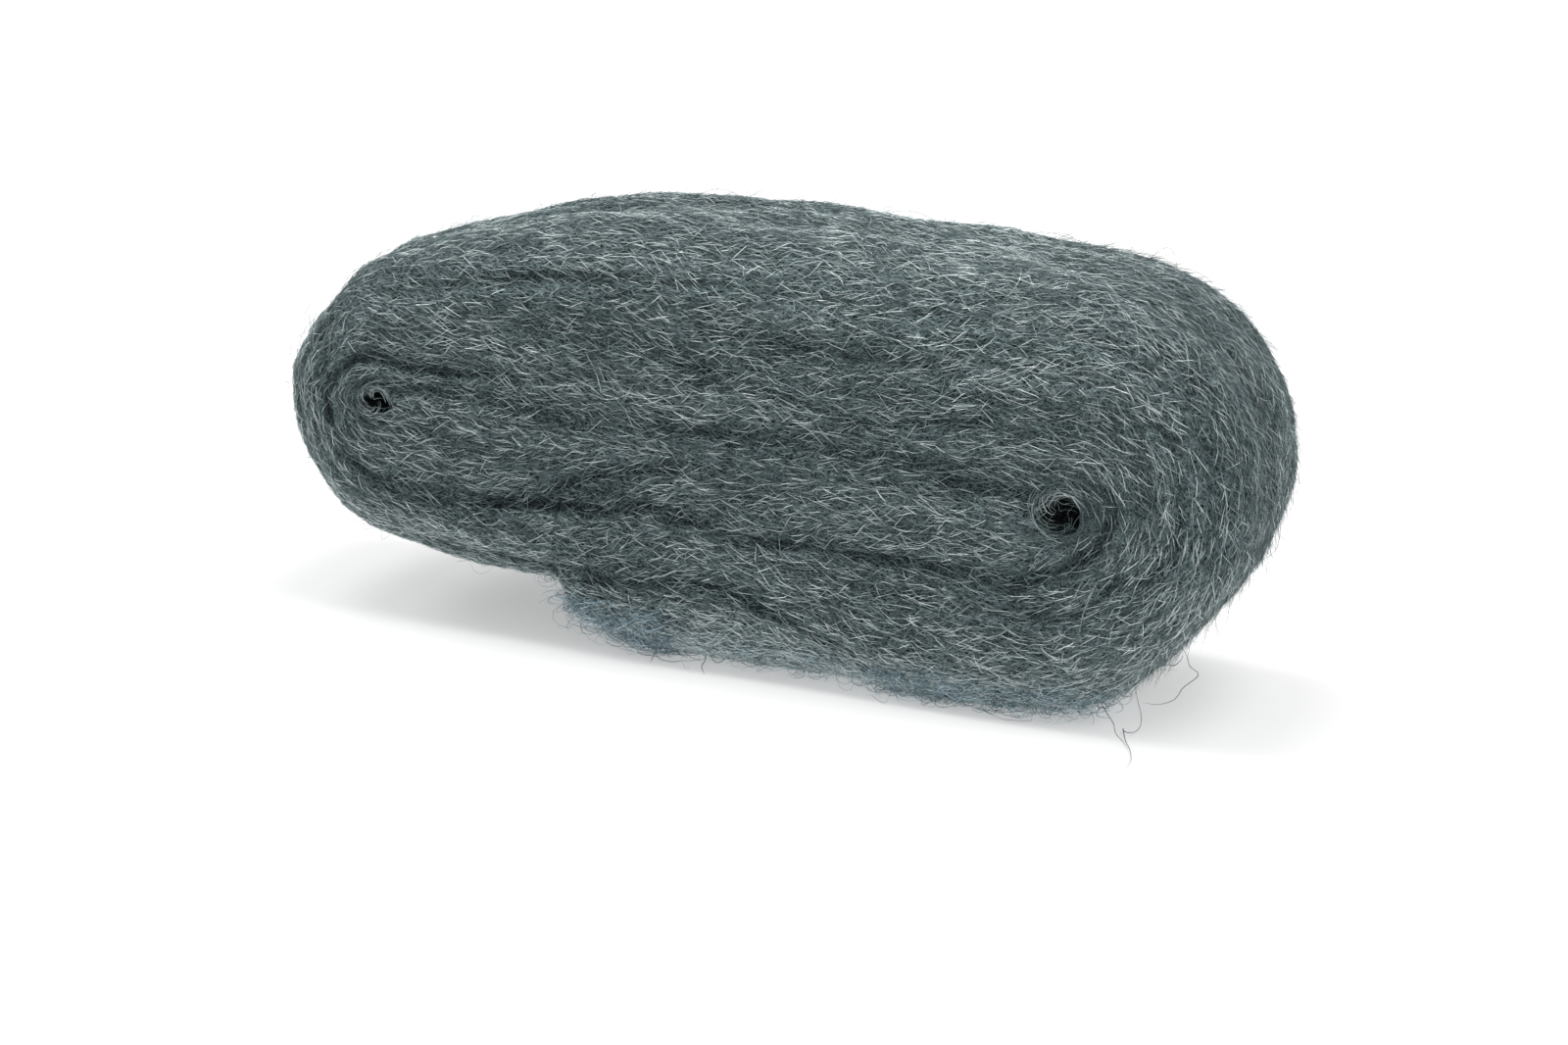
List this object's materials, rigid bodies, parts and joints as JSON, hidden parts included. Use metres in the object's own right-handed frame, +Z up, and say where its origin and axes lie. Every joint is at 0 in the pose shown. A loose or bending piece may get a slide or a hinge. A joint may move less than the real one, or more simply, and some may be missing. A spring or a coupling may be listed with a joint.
{
  "type": "steel wool roll",
  "caption": "Roll of steel wool: one flat sliver of fine steel fibre wound round two eyes into a flattened oval roll, its free end tucked under the belly.",
  "frame": {"origin": "under the middle of the roll, on the surface that it lies on", "axes": "+Z up; +X along the roll towards the thicker end; the front face, which shows the turns, looks along -Y"},
  "size_m": [0.2052, 0.0516, 0.0878],
  "materials": {
    "steel_wool": "loose matt tangle of fine grey fibres with small bright glints"
  },
  "bodies": {
    "root": {"wool_roll": "steel_wool"}
  },
  "joints": []
}
